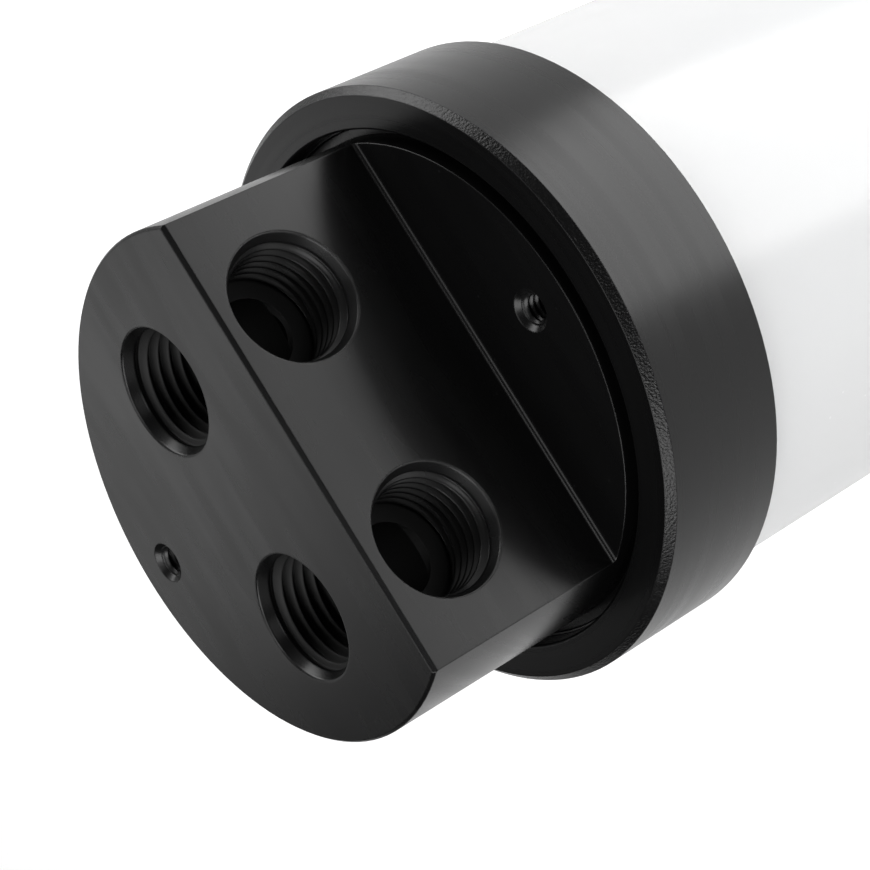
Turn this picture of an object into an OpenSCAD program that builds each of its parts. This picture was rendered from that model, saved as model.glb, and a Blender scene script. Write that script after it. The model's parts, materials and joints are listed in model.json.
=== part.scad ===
// Tube reservoir with a coolant pump at its foot and a four-port head on top.
// The origin is on the tube's axis at the bottom of the pump, and +Z is up.

/* [Reservoir tube] */
// Outer diameter of the tube
tube_od = 60; // [56:1:70]
// Wall of the tube
tube_wall = 4; // [3:0.5:5]
// Length of the tube
tube_len = 150; // [100:10:300]

/* [Collars] */
// Step from the tube's outside to the collar's outside
collar_step = 2; // [1.5:0.25:5]
// Height of a collar
collar_h = 15; // [13:0.5:24]
// Depth of the plain lead-in at a collar's face
lead_h = 2.5; // [1.5:0.25:4]
// Length of the thread in a collar
thread_h = 5.5; // [4:0.25:7]
// Material outside the collar thread, measured to the tube's outside
thread_cover = 2.5; // [2:0.25:3]
// Width of the chamfer on a collar's outer edge
collar_chamfer = 0.8; // [0.3:0.1:1.2]
// Width of the lead-in's gap round the head
lead_gap = 1.25; // [1.1:0.05:2]

/* [Port head] */
// Depth of the thread on the head and on the pump base
thread_depth = 1; // [0.7:0.1:1.2]
// Height of the D-shaped nose above its ledge
nose_h = 23.8; // [19:0.2:34]
// Height of the ledge above the collar's face
ledge_rise = 0.2; // [0.1:0.1:3]
// Distance from the axis to the nose's flat
flat_offset = 11.6; // [10.6:0.2:13]
// Radius of the fillet where the flat meets the ledge
flat_fillet = 0.5; // [0.2:0.1:1]
// Width of the chamfer between the flat and the top face
flat_chamfer = 0.4; // [0.2:0.1:1]
// Width of the chamfer round the top face
nose_chamfer = 0.25; // [0.1:0.05:0.8]
// Length of a spigot inside the tube
spigot_h = 12; // [10:0.5:20]

/* [Ports] */
// Outer diameter of the port thread, G1/4
port_d = 13.16; // [12.5:0.02:13.3]
// Diameter of the plain seat at a port's mouth
port_seat_d = 13.5; // [13.32:0.02:14]
// Depth of the plain seat
port_seat_h = 1.3; // [0.8:0.1:2]
// Distance between the two ports of a pair
port_spacing = 25.4; // [24:0.2:26]
// Distance from the axis to the top ports, away from the flat
top_port_y = 3.65; // [3:0.05:4.5]
// Depth of a top port
top_port_h = 11; // [10.5:0.5:14]
// Distance from the top face down to the flat's ports
flat_port_drop = 8.4; // [7.6:0.2:10]
// Depth of a port in the flat
flat_port_h = 9.4; // [8:0.2:10]
// Bore that joins a flat's port to the top port behind it
cross_d = 8; // [6:0.5:9]
// Bore from a top port down into the tube
gallery_d = 10; // [8:0.5:11]

/* [Tapped holes] */
// Core diameter of the small tapped holes, M4
tap_d = 3.3; // [2.5:0.1:4.2]
// Depth of the small tapped holes
tap_h = 8; // [5:0.5:10]
// Countersunk diameter at a small hole's mouth
tap_mouth_d = 4.3; // [4.3:0.1:5.2]
// Distance from the head's rim to a small hole
tap_inset = 5.6; // [4:0.2:7]

/* [Seals] */
// Thickness of the two tube seals
tube_seal_d = 1.8; // [1.4:0.1:2.4]
// Thickness of the pump flange's seal
flange_seal_d = 2; // [1.5:0.1:2.4]
// Extra width of a seal's groove
groove_slack = 0.4; // [0.2:0.1:0.8]
// Distance of the flange seal inside the pocket's wall
flange_seal_inset = 3.4; // [2.6:0.1:4]
// Thickness of the drop tube's seal
drop_seal_d = 1.2; // [1:0.1:1.5]

/* [Drop tube] */
// Outer diameter of the drop tube
drop_od = 10; // [8:0.5:11]
// Wall of the drop tube
drop_wall = 1; // [0.8:0.1:2]
// Length of the drop tube
drop_len = 84; // [30:2:90]
// Depth of the drop tube's socket
drop_socket_h = 10; // [8:0.5:12]

/* [Vortex insert] */
// Height of the insert's ring
insert_h = 8; // [4:1:20]
// Wall of the insert's ring
insert_wall = 1.6; // [1:0.1:3]
// Thickness of the crossed vanes
vane_t = 1.6; // [1:0.1:3]

/* [Pump base] */
// Height of the base below the collar
base_h = 32; // [30:1:50]
// Material between the pump pocket and the base's rim
pocket_land = 11; // [10:0.5:16]
// Material between the pump pocket and the outlet's flat
flat_land = 3; // [2:0.25:5]
// Height of the web under the outlet port
outlet_web = 3.25; // [2.75:0.25:5]
// Depth of the outlet port
outlet_port_h = 11; // [9.5:0.5:12]
// Bore between the volute and the outlet port
outlet_d = 7; // [5:0.5:8]
// Bore of the pump inlet
inlet_d = 17; // [14:0.5:17.5]
// Height of the funnel above the inlet
funnel_h = 16; // [8:1:20]
// Edge left round the funnel's mouth
funnel_lip = 3; // [2.5:0.5:6]
// Chamfer on the base's outer edges
base_chamfer = 1; // [0.4:0.1:2]
// Radial gap between the impeller and the volute
volute_gap = 1.1; // [0.8:0.1:1.5]
// Offset of the volute's wider part
volute_shift = 0.9; // [0.3:0.1:1.5]

/* [Clamp ring] */
// Thickness of the clamp ring
clamp_h = 7; // [6:0.5:12]
// Clearance between the clamp ring and the motor's can
clamp_clear = 0.25; // [0.15:0.05:0.8]
// Nominal diameter of the clamp screws
clamp_screw_d = 4; // [3:0.5:4.5]
// Depth of the clamp screws in the base
clamp_screw_grip = 11; // [8:0.5:12]
// Core diameter of the two bracket holes in the clamp ring
bracket_tap_d = 3.3; // [2.5:0.1:4.2]

/* [Motor] */
// Diameter of the motor's can
can_d = 54; // [53:1:58]
// Wall of the can
can_wall = 1.5; // [1.2:0.1:2]
// Height of the can between the cover and the flange
can_h = 32; // [31:0.5:40]
// How far the flange stands out past the can
flange_step = 3.8; // [3:0.2:5]
// Thickness of the flange
flange_h = 4; // [3:0.25:6]
// Radial clearance of the flange in its pocket
pocket_clear = 0.2; // [0.1:0.05:0.3]
// Depth of the deck that carries the separation cup
deck_h = 5.5; // [4.5:0.25:6]

/* [Separation cup] */
// Inner radius of the cup's round bowl
bowl_r = 17.2; // [16.8:0.1:17.6]
// Wall of the cup
cup_wall = 0.8; // [0.5:0.1:1]
// Width of the cup's lip
lip_w = 6; // [4:0.5:6.5]
// Height of the ball's centre above the flange
ball_rise = 0.8; // [0.6:0.1:1.4]
// Radius of the boss that holds the post
boss_r = 2.9; // [2.4:0.1:3]
// How far the boss stands out on both sides of the bowl
boss_rise = 1.2; // [1:0.1:1.6]

/* [Rotor] */
// Running gap between the magnet and the bowl
magnet_gap = 0.7; // [0.5:0.1:1]
// Bore of the magnet round the post
magnet_bore_d = 6.8; // [6.6:0.1:8]
// Diameter of the bearing ball
ball_d = 5; // [4:0.5:6]
// Diameter of the post under the ball
post_d = 3.2; // [2:0.2:3.6]
// Running clearance of the bearing
bearing_clear = 0.03; // [0.01:0.01:0.1]
// Height of the bearing cup over the ball's centre
bearing_cup_h = 3.8; // [3.5:0.1:4.2]
// Wall of the bearing cup outside the ball
bearing_cup_wall = 1.5; // [1:0.1:2]
// Wall of the hub round the bearing cup
hub_wall = 1.4; // [1:0.1:1.6]
// Outer radius of the impeller
impeller_r = 18.5; // [17.5:0.1:19]
// Thickness of the impeller's lower disc
disc_t = 1.5; // [1:0.1:2]
// Height of the blades
blade_h = 4.1; // [3.5:0.1:5]
// Thickness of the blades
blade_t = 1.2; // [0.8:0.1:2]
// Number of blades
blade_count = 7; // [5:1:9]
// Thickness of the impeller's upper shroud
shroud_t = 1; // [0.8:0.1:1.5]
// Height of the neck round the impeller's eye
neck_h = 0.8; // [0.5:0.1:1.5]
// Wall of that neck
neck_wall = 0.8; // [0.6:0.1:1.2]
// Gap between the neck and the base's ceiling
neck_gap = 0.3; // [0.2:0.05:0.6]

/* [Stator] */
// Gap between the cup and the stator
stator_gap = 0.3; // [0.2:0.05:0.6]
// Height of the stator core
core_h = 10.5; // [8:0.5:11]
// Distance from the deck down to the core
core_drop = 2.5; // [2.3:0.1:3]
// Width of the core's ring
core_ring_w = 3.8; // [3:0.2:4.6]
// Width of a tooth
tooth_w = 6; // [4:0.5:7]
// Number of teeth
tooth_count = 6; // [3:1:6]
// Gap between neighbouring teeth at their inner ends
tooth_gap = 0.6; // [0.4:0.1:1.5]
// Thickness of a winding
coil_t = 2; // [1.2:0.1:2.2]
// Radius at which the windings begin
coil_in_r = 12; // [11.5:0.5:14]

/* [Back cover] */
// Height of the back cover
cover_h = 8; // [7:0.5:12]
// Radius of the cover's rounded edge
cover_round = 2; // [1:0.25:2.5]
// Thickness of the cover's floor
cover_floor = 3; // [2.5:0.25:4]
// Height of the step that centres the cover in the can
cover_step_h = 3; // [2:0.5:4]
// Number of cover screws
cover_screw_count = 3; // [3:1:3]
// Nominal diameter of the cover screws
cover_screw_d = 2.5; // [2:0.1:2.6]
// Length of a cover screw
cover_screw_len = 14; // [12:1:18]
// Height of the screw bosses in the can
screw_boss_h = 12; // [10:0.5:13]

/* [Control board] */
// Diameter of the circuit board
board_d = 38; // [36:0.5:39]
// Thickness of the circuit board
board_t = 1.6; // [1:0.2:2]
// Height of the posts under the board
board_post_h = 11; // [10:0.5:12]
// Radius on which the board's posts stand
board_post_circle = 16; // [14:0.5:16]
// Diameter of the board's posts
board_post_d = 4; // [3:0.5:5]
// Side of the processor
chip_w = 7; // [5:0.5:9]
// Height of the processor and the power transistors
chip_h = 1.2; // [0.8:0.1:2]
// Side of a power transistor
transistor_w = 5; // [4:0.5:6]
// Diameter of a capacitor
capacitor_d = 8; // [5:0.5:8.5]
// Height of a capacitor
capacitor_h = 5.5; // [4:0.5:6]
// Outer diameter of the choke
choke_d = 9; // [7:0.5:10]
// Bore of the choke
choke_bore_d = 4.4; // [3:0.2:5]
// Height of the choke
choke_h = 4; // [3:0.5:5]
// Gap between the parts on the board
part_gap = 1; // [0.5:0.1:1.5]

/* [Speed dial] */
// Diameter of the dial
dial_d = 12; // [9:0.5:13]
// Thickness of the dial
dial_h = 4.4; // [3:0.2:4.6]
// How far the dial lies above the cover's bottom
dial_recess = 0.6; // [0.4:0.1:1]
// Distance of the dial from the axis
dial_offset = 12; // [11:0.5:12.5]
// Diameter of the dial's shaft
dial_shaft_d = 3; // [2:0.25:4]
// Running clearance of the dial's shaft
dial_clear = 0.05; // [0.02:0.01:0.1]
// Width of the screwdriver slot
slot_w = 1.2; // [0.8:0.1:2]
// Depth of the screwdriver slot
slot_h = 1.6; // [0.8:0.1:2]

/* [Cable gland] */
// Outer diameter of the gland's neck
gland_d = 7; // [5:0.5:8]
// Bore for the cable
gland_bore_d = 4.8; // [3:0.2:4.8]
// Length of the gland's nose outside the can
gland_len = 8; // [5:0.5:10]
// Height of the gland above the cover
gland_rise = 9; // [8:0.5:12]
// Height and width of the gland's collar against the can
gland_collar = 1.5; // [1:0.25:2]
// Taper of the gland's nose
gland_taper = 0.8; // [0.3:0.1:1]

/* [Hidden] */
$fn = 96;

// Overshoot of a cut past the face that it opens
over = 1;
// Gap of a fixed fit, such as a screw in its hole or a tube in its socket
fit = 0.05;
// Gap round a seal in its groove
seal_fit = 0.01;

// Turn of the cover screws round the axis, clear of the gland
cover_screw_turn = 30;
// Gap between the speed control and the cover, and the wall over its shaft
control_gap = 1;
// Wall round a cover screw in its boss
screw_boss_wall = 1.5;
// How far the gland reaches into the can
gland_root = 1;

// Radii
tube_r = tube_od / 2;
tube_bore_r = tube_r - tube_wall;
collar_r = tube_r + collar_step;
thread_r = tube_r - thread_cover;
head_r = thread_r - thread_depth;
lead_r = head_r + lead_gap;
spigot_r = min(tube_bore_r, head_r) - 2 * fit;
can_r = can_d / 2;
can_bore_r = can_r - can_wall;
flange_r = can_r + flange_step;
pocket_r = flange_r + pocket_clear;
base_r = pocket_r + pocket_land;
base_flat = pocket_r + flat_land;
screw_circle = pocket_r + pocket_land / 2;
port_r = port_d / 2;
port_seat_r = port_seat_d / 2;
port_x = port_spacing / 2;
tap_circle = head_r - tap_inset;
volute_r = impeller_r + volute_gap;
outlet_r = outlet_d / 2;
outlet_x = volute_r - outlet_r - 2 * fit;
eye_r = inlet_d / 2 + 2 * fit;
bearing_cup_r = ball_d / 2 + bearing_cup_wall;
clamp_head_r = 0.875 * clamp_screw_d;
screw_boss_r = cover_screw_d / 2 + screw_boss_wall;
cover_screw_circle = can_bore_r - screw_boss_r + 4 * fit;
tooth_root_r = tooth_w / (2 * sin(180 / tooth_count)) + tooth_gap;

// Heights, from the bottom up
flange_z = cover_h + can_h;
wet_z = flange_z + flange_h;
ball_z = wet_z + ball_rise;
disc_z = ball_z + disc_t;
shroud_z = disc_z + blade_h;
neck_z = shroud_z + shroud_t;
ceiling_z = neck_z + neck_h + neck_gap;
outlet_z = wet_z + port_seat_r + outlet_web;
passage_z = outlet_z - (port_r - outlet_r - 2 * fit);
base_top = flange_z + base_h;
tube_z = base_top + lead_h + thread_h;
tube_top = tube_z + tube_len;
face_z = tube_top + thread_h + lead_h;
ledge_z = face_z + ledge_rise;
top_z = ledge_z + nose_h;
spigot_top = tube_z + spigot_h;
spigot_foot = tube_top - spigot_h;
deck_z = wet_z - deck_h;
core_z = deck_z - core_drop - core_h;
board_z = cover_floor + board_post_h;
dial_top = dial_recess + dial_h;
clamp_head_z = flange_z - clamp_h + 4 * fit;
control_h = board_z - cover_h - control_gap;

// A plain ring that stands on z = 0
module ring(outer, inner, h) {
    difference() {
        cylinder(r = outer, h = h);
        translate([0, 0, -over]) cylinder(r = inner, h = h + 2 * over);
    }
}

// A seal of round section, centred on z = 0
module o_ring(inner, section) {
    rotate_extrude() translate([inner + section / 2, 0]) circle(d = section, $fn = 32);
}

// Copies turned evenly round the axis
module around(count, start = 0) {
    for (i = [0 : count - 1]) rotate([0, 0, start + i * 360 / count]) children();
}

// A threaded port with its plain seat: the mouth is at z = 0 and the bore goes down
module port_cut(depth) {
    translate([0, 0, -depth]) cylinder(r = port_r, h = depth + over);
    translate([0, 0, -port_seat_h]) cylinder(r = port_seat_r, h = port_seat_h + over);
}

// A small tapped hole with a countersunk mouth at z = 0
module tap_cut() {
    sink = (tap_mouth_d - tap_d) / 2;
    translate([0, 0, -tap_h]) cylinder(d = tap_d, h = tap_h + over);
    translate([0, 0, -sink]) cylinder(d1 = tap_d, d2 = tap_mouth_d, h = sink);
    cylinder(d = tap_mouth_d, h = over);
}

// Outline of the turned end that screws into a collar and plugs the tube: from the
// spigot's end, past the tube's end at height 0, up to the plain neck above the thread
function plug_outline() = let (
        groove_r = tube_bore_r - tube_seal_d - 2 * seal_fit,
        groove_h = tube_seal_d + groove_slack,
        groove_z = -(spigot_h + groove_h) / 2
    ) [
        [0, -spigot_h], [spigot_r - collar_chamfer, -spigot_h], [spigot_r, -spigot_h + collar_chamfer],
        [spigot_r, groove_z], [groove_r, groove_z], [groove_r, groove_z + groove_h],
        [spigot_r, groove_z + groove_h], [spigot_r, 0], [thread_r, 0], [thread_r, thread_h - 4 * fit],
        [head_r, thread_h - 4 * fit]
    ];

// The space in front of the nose's flat, with a fillet at its foot and a chamfer at its top
module flat_cut() {
    span = 2 * head_r + 2 * over;
    slope = flat_chamfer + over;
    translate([-span / 2, -flat_offset, ledge_z]) rotate([90, 0, 90]) linear_extrude(span)
        mirror([1, 0]) difference() {
            polygon([[0, 0], [span, 0], [span, nose_h + over], [-slope, nose_h + over], [0, nose_h - flat_chamfer]]);
            difference() {
                square(flat_fillet);
                translate([flat_fillet, flat_fillet]) circle(r = flat_fillet, $fn = 48);
            }
        }
}

module port_block() color([0.07, 0.07, 0.08]) difference() {
    translate([0, 0, tube_top]) rotate_extrude() polygon(concat(plug_outline(), [
        [head_r, top_z - tube_top - nose_chamfer], [head_r - nose_chamfer, top_z - tube_top],
        [0, top_z - tube_top]
    ]));
    flat_cut();
    for (side = [-1, 1]) translate([side * port_x, 0, 0]) {
        translate([0, top_port_y, top_z]) port_cut(top_port_h);
        translate([0, -flat_offset, top_z - flat_port_drop]) rotate([90, 0, 0]) port_cut(flat_port_h);
        translate([0, top_port_y, top_z - flat_port_drop]) rotate([90, 0, 0])
            cylinder(d = cross_d, h = flat_offset + top_port_y - flat_port_h + over);
    }
    // The right-hand port opens straight into the tube, the left-hand one into the drop tube
    translate([port_x, top_port_y, spigot_foot - over])
        cylinder(d = gallery_d, h = top_z - top_port_h - spigot_foot + 2 * over);
    translate([-port_x, top_port_y, spigot_foot - over])
        cylinder(d = drop_od - 2 * drop_wall, h = top_z - top_port_h - spigot_foot + 2 * over);
    translate([-port_x, top_port_y, spigot_foot - over])
        cylinder(r = drop_od / 2 + fit, h = drop_socket_h + over);
    translate([-port_x, top_port_y, spigot_foot + (drop_socket_h - drop_seal_d - groove_slack) / 2])
        cylinder(r = drop_od / 2 + drop_seal_d + 2 * seal_fit, h = drop_seal_d + groove_slack);
    translate([0, tap_circle, top_z]) tap_cut();
    translate([0, -tap_circle, ledge_z]) tap_cut();
}

// A collar with its tube socket at z = 0 and its face at z = collar_h
module collar() {
    socket_h = collar_h - lead_h - thread_h;
    socket_r = tube_r + fit;
    nut_r = thread_r + fit;
    edge = collar_chamfer / 4;
    rotate_extrude() polygon([
        [socket_r, 0], [collar_r, 0], [collar_r, collar_h - collar_chamfer],
        [collar_r - collar_chamfer, collar_h], [lead_r + edge, collar_h], [lead_r, collar_h - edge],
        [lead_r, collar_h - lead_h], [nut_r, collar_h - lead_h], [nut_r, socket_h], [socket_r, socket_h]
    ]);
}

module head_collar() color([0.12, 0.12, 0.13]) translate([0, 0, face_z - collar_h]) collar();

module base_collar() color([0.12, 0.12, 0.13])
    translate([0, 0, base_top + collar_h]) mirror([0, 0, 1]) collar();

module head_o_ring() color([0.03, 0.03, 0.03]) translate([0, 0, tube_top - spigot_h / 2])
    o_ring(tube_bore_r - tube_seal_d - seal_fit, tube_seal_d);

module base_o_ring() color([0.03, 0.03, 0.03]) translate([0, 0, tube_z + spigot_h / 2])
    o_ring(tube_bore_r - tube_seal_d - seal_fit, tube_seal_d);

module reservoir_tube() color([0.93, 0.94, 0.95]) translate([0, 0, tube_z])
    ring(tube_r, tube_bore_r, tube_len);

module drop_tube() color([0.8, 0.85, 0.88])
    translate([-port_x, top_port_y, spigot_foot + drop_socket_h - drop_len])
        ring(drop_od / 2, drop_od / 2 - drop_wall, drop_len);

module drop_tube_seal() color([0.03, 0.03, 0.03])
    translate([-port_x, top_port_y, spigot_foot + drop_socket_h / 2])
        o_ring(drop_od / 2 + seal_fit, drop_seal_d);

// A ring on the base's spigot, with crossed vanes that break the swirl over the inlet
module vortex_insert() color([0.15, 0.15, 0.16]) translate([0, 0, spigot_top]) {
    outer = spigot_r - collar_chamfer;
    ring(outer, outer - insert_wall, insert_h);
    intersection() {
        cylinder(r = outer - insert_wall / 2, h = insert_h);
        around(2) translate([-outer, -vane_t / 2, 0]) cube([2 * outer, vane_t, insert_h]);
    }
}

// Outline of the base as one turned shape: the plug, turned over, on the round block
function base_outline() = concat([for (p = plug_outline()) [p[0], -p[1]]], [
        [head_r, base_top - tube_z], [base_r - base_chamfer, base_top - tube_z],
        [base_r, base_top - tube_z - base_chamfer], [base_r, flange_z - tube_z + base_chamfer],
        [base_r - base_chamfer, flange_z - tube_z], [0, flange_z - tube_z]
    ]);

// The round pump chamber, widened a little towards the outlet
module volute_cut() {
    h = ceiling_z - wet_z + over;
    translate([0, 0, wet_z - over]) {
        cylinder(r = volute_r, h = h);
        translate([volute_shift, volute_shift / 2, 0]) cylinder(r = volute_r, h = h);
    }
}

module pump_base() color([0.07, 0.07, 0.08]) difference() {
    translate([0, 0, tube_z]) rotate_extrude() polygon(base_outline());
    // Outlet's flat, over the full height of the block
    translate([-base_r - over, -base_r - over, flange_z - over])
        cube([2 * (base_r + over), base_r + over - base_flat, base_h + over]);
    // Pocket and seal groove for the pump's flange
    translate([0, 0, flange_z - over]) cylinder(r = pocket_r, h = flange_h + over);
    translate([0, 0, wet_z - over]) ring(pocket_r - flange_seal_inset + flange_seal_d / 2 + groove_slack / 2,
        pocket_r - flange_seal_inset - flange_seal_d / 2 - groove_slack / 2, flange_seal_d + seal_fit + over);
    volute_cut();
    // Inlet and funnel
    translate([0, 0, ceiling_z - over]) cylinder(d = inlet_d, h = spigot_top - ceiling_z + 2 * over);
    translate([0, 0, spigot_top - funnel_h])
        cylinder(r1 = inlet_d / 2, r2 = spigot_r - funnel_lip, h = funnel_h);
    translate([0, 0, spigot_top]) cylinder(r = spigot_r - funnel_lip, h = over);
    // Outlet port, and the passage that leaves the volute along its wall
    translate([outlet_x, -base_flat, outlet_z]) rotate([90, 0, 0]) port_cut(outlet_port_h);
    translate([outlet_x, 0, passage_z]) rotate([90, 0, 0])
        cylinder(r = outlet_r, h = base_flat - outlet_port_h + over);
    around(4, 45) translate([screw_circle, 0, flange_z - over])
        cylinder(r = clamp_screw_d / 2 + fit, h = clamp_screw_grip + 2 * over);
}

module flange_o_ring() color([0.03, 0.03, 0.03]) translate([0, 0, wet_z + flange_seal_d / 2 + seal_fit / 2])
    o_ring(pocket_r - flange_seal_inset - flange_seal_d / 2, flange_seal_d);

module clamp_ring() color([0.1, 0.1, 0.11]) difference() {
    translate([0, 0, flange_z - clamp_h]) rotate_extrude() polygon([
        [can_r + clamp_clear, 0], [base_r - base_chamfer, 0], [base_r, base_chamfer],
        [base_r, clamp_h - base_chamfer], [base_r - base_chamfer, clamp_h], [can_r + clamp_clear, clamp_h]
    ]);
    around(4, 45) translate([screw_circle, 0, flange_z - clamp_h - over]) {
        cylinder(r = clamp_screw_d / 2 + 4 * fit, h = clamp_h + 2 * over);
        cylinder(r = clamp_head_r + 4 * fit, h = over + 4 * fit + clamp_screw_d);
    }
    around(2) translate([screw_circle, 0, flange_z - clamp_h - over])
        cylinder(d = bracket_tap_d, h = clamp_h + 2 * over);
}

// Socket head sizes follow the thread: head 1.75 d wide and 1 d high
module clamp_screws() color([0.2, 0.2, 0.21]) around(4, 45) translate([screw_circle, 0, clamp_head_z])
    difference() {
        union() {
            cylinder(r = clamp_head_r, h = clamp_screw_d);
            cylinder(d = clamp_screw_d, h = flange_z + clamp_screw_grip - clamp_head_z);
        }
        translate([0, 0, -over]) cylinder(r = clamp_screw_d * 0.43, h = over + clamp_screw_d / 2, $fn = 6);
    }

// Can with bosses for the cover's screws just inside its wall
module motor_housing() color([0.09, 0.09, 0.1]) difference() {
    union() {
        difference() {
            union() {
                translate([0, 0, cover_h]) cylinder(r = can_r, h = can_h + flange_h);
                translate([0, 0, flange_z]) cylinder(r = flange_r, h = flange_h);
            }
            translate([0, 0, cover_h - over]) cylinder(r = can_bore_r, h = deck_z - cover_h + over);
        }
        intersection() {
            around(cover_screw_count, cover_screw_turn) translate([cover_screw_circle, 0, cover_h + cover_step_h + fit])
                cylinder(r = screw_boss_r, h = screw_boss_h);
            translate([0, 0, cover_h]) cylinder(r = can_r - can_wall / 2, h = can_h);
        }
    }
    // Seat of the separation cup
    translate([0, 0, deck_z - over]) cylinder(r = bowl_r + cup_wall + fit, h = deck_h + 2 * over);
    translate([0, 0, wet_z - cup_wall]) cylinder(r = bowl_r + cup_wall + lip_w + fit, h = cup_wall + over);
    around(cover_screw_count, cover_screw_turn) translate([cover_screw_circle, 0, cover_h])
        cylinder(r = cover_screw_d / 2 + fit, h = cover_step_h + screw_boss_h - 2);
    translate([0, 0, cover_h + gland_rise]) rotate([-90, 0, 0]) cylinder(r = gland_d / 2 + fit, h = can_r + over);
}

// Deep-drawn bowl with a flat lip, and a boss at its foot for the post
module separation_cup() color([0.75, 0.76, 0.78]) difference() {
    rotate_extrude() {
        difference() {
            intersection() {
                translate([0, ball_z]) circle(r = bowl_r + cup_wall);
                translate([0, ball_z - 2 * bowl_r]) square([2 * bowl_r, 2 * bowl_r - ball_rise]);
            }
            translate([0, ball_z]) circle(r = bowl_r);
        }
        translate([bowl_r + cup_wall / 2, wet_z - cup_wall]) square([lip_w + cup_wall / 2, cup_wall]);
        translate([0, ball_z - bowl_r - cup_wall - boss_rise]) square([boss_r, cup_wall + 2 * boss_rise]);
    }
    translate([0, 0, ball_z - bowl_r - cup_wall]) cylinder(r = post_d / 2 + fit / 5, h = 2 * cup_wall + boss_rise);
}

module bearing_ball() color([0.92, 0.9, 0.86]) translate([0, 0, ball_z]) sphere(d = ball_d);

module bearing_post() color([0.7, 0.71, 0.73]) difference() {
    translate([0, 0, ball_z - bowl_r - cup_wall])
        cylinder(d = post_d, h = bowl_r + cup_wall - ball_d / 4);
    translate([0, 0, ball_z]) sphere(r = ball_d / 2 + seal_fit);
}

module bearing_cup() color([0.2, 0.2, 0.22]) difference() {
    translate([0, 0, ball_z]) cylinder(r = bearing_cup_r, h = bearing_cup_h);
    translate([0, 0, ball_z]) sphere(r = ball_d / 2 + bearing_clear);
}

// Outline of one backward-curved blade: an arc cut to the impeller's ring
module blade_outline() {
    arc_r = 0.76 * impeller_r;
    intersection() {
        difference() {
            circle(r = impeller_r - 2 * fit);
            circle(r = eye_r + neck_wall / 2);
        }
        translate([0.65 * impeller_r, 0]) difference() {
            circle(r = arc_r + blade_t / 2);
            circle(r = arc_r - blade_t / 2);
        }
        translate([-impeller_r, 0]) square(2 * impeller_r);
    }
}

module impeller() color([0.85, 0.85, 0.83]) {
    hub_r = bearing_cup_r + hub_wall;
    hub_h = bearing_cup_h + hub_wall;
    socket_r = bearing_cup_r + seal_fit;
    translate([0, 0, ball_z]) rotate_extrude() {
        difference() {
            union() {
                square([impeller_r, disc_t]);
                square([hub_r, hub_h - hub_wall]);
                square([hub_r - hub_wall, hub_h]);
                translate([hub_r - hub_wall, hub_h - hub_wall]) circle(r = hub_wall, $fn = 32);
            }
            translate([0, -over]) square([socket_r, bearing_cup_h + seal_fit + over]);
        }
    }
    translate([0, 0, disc_z - fit]) linear_extrude(blade_h + 2 * fit) around(blade_count) blade_outline();
    translate([0, 0, shroud_z]) rotate_extrude() polygon([
        [eye_r, 0], [impeller_r, 0], [impeller_r, shroud_t], [eye_r + neck_wall, shroud_t],
        [eye_r + neck_wall, shroud_t + neck_h], [eye_r, shroud_t + neck_h]
    ]);
}

module rotor_magnet() color([0.16, 0.16, 0.17]) difference() {
    translate([0, 0, ball_z]) sphere(r = bowl_r - magnet_gap);
    translate([0, 0, ball_z]) cylinder(r = 2 * bowl_r, h = 2 * bowl_r);
    cylinder(d = magnet_bore_d, h = top_z);
}

// The space that the cup takes out of the stator
module stator_bowl(gap) {
    translate([0, 0, ball_z]) sphere(r = bowl_r + cup_wall + gap);
}

module tooth(slack, h) {
    translate([0, -tooth_w / 2 - slack, -slack])
        cube([can_bore_r - core_ring_w / 2, tooth_w + 2 * slack, h + 2 * slack]);
}

module stator_core() color([0.45, 0.45, 0.47]) difference() {
    translate([0, 0, core_z]) {
        ring(can_bore_r - fit, can_bore_r - core_ring_w, core_h);
        around(tooth_count) tooth(0, core_h);
    }
    cylinder(r = tooth_root_r, h = top_z);
    stator_bowl(stator_gap);
}

module stator_coils() color([0.72, 0.4, 0.18]) around(tooth_count) difference() {
    intersection() {
        translate([coil_in_r, -tooth_w / 2 - coil_t, core_z - coil_t])
            cube([can_r, tooth_w + 2 * coil_t, core_h + 2 * coil_t]);
        cylinder(r = can_bore_r - core_ring_w - fit, h = top_z);
    }
    translate([0, 0, core_z]) tooth(fit, core_h);
    stator_bowl(2 * stator_gap);
}

module control_board() color([0.05, 0.3, 0.16]) translate([0, 0, board_z]) cylinder(d = board_d, h = board_t);

// Processor, transistors, capacitors and a choke stand on the board's upper side
module board_parts() color([0.25, 0.25, 0.28]) translate([0, 0, board_z + board_t]) {
    translate([-chip_w / 2, -chip_w / 2, 0]) cube([chip_w, chip_w, chip_h]);
    translate([0, -(chip_w + choke_d) / 2 - 2 * part_gap, 0]) ring(choke_d / 2, choke_bore_d / 2, choke_h);
    for (side = [-1, 1]) {
        translate([side * ((chip_w + capacitor_d) / 2 + part_gap), (chip_w + capacitor_d) / 2, 0])
            cylinder(d = capacitor_d, h = capacitor_h);
        translate([side * ((choke_d + transistor_w) / 2 + 4 * part_gap) - transistor_w / 2,
                -(chip_w + transistor_w) / 2, 0])
            cube([transistor_w, transistor_w, chip_h]);
    }
}

// Rotary control under the board, turned by the dial's shaft
module speed_control() color([0.1, 0.25, 0.5]) difference() {
    translate([-dial_shaft_d * 1.5, -dial_offset - dial_shaft_d * 1.5, board_z - control_h])
        cube([dial_shaft_d * 3, dial_shaft_d * 3, control_h]);
    translate([0, -dial_offset, board_z - control_h - over])
        cylinder(r = dial_shaft_d / 2 + dial_clear, h = control_h - control_gap + over);
}

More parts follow.
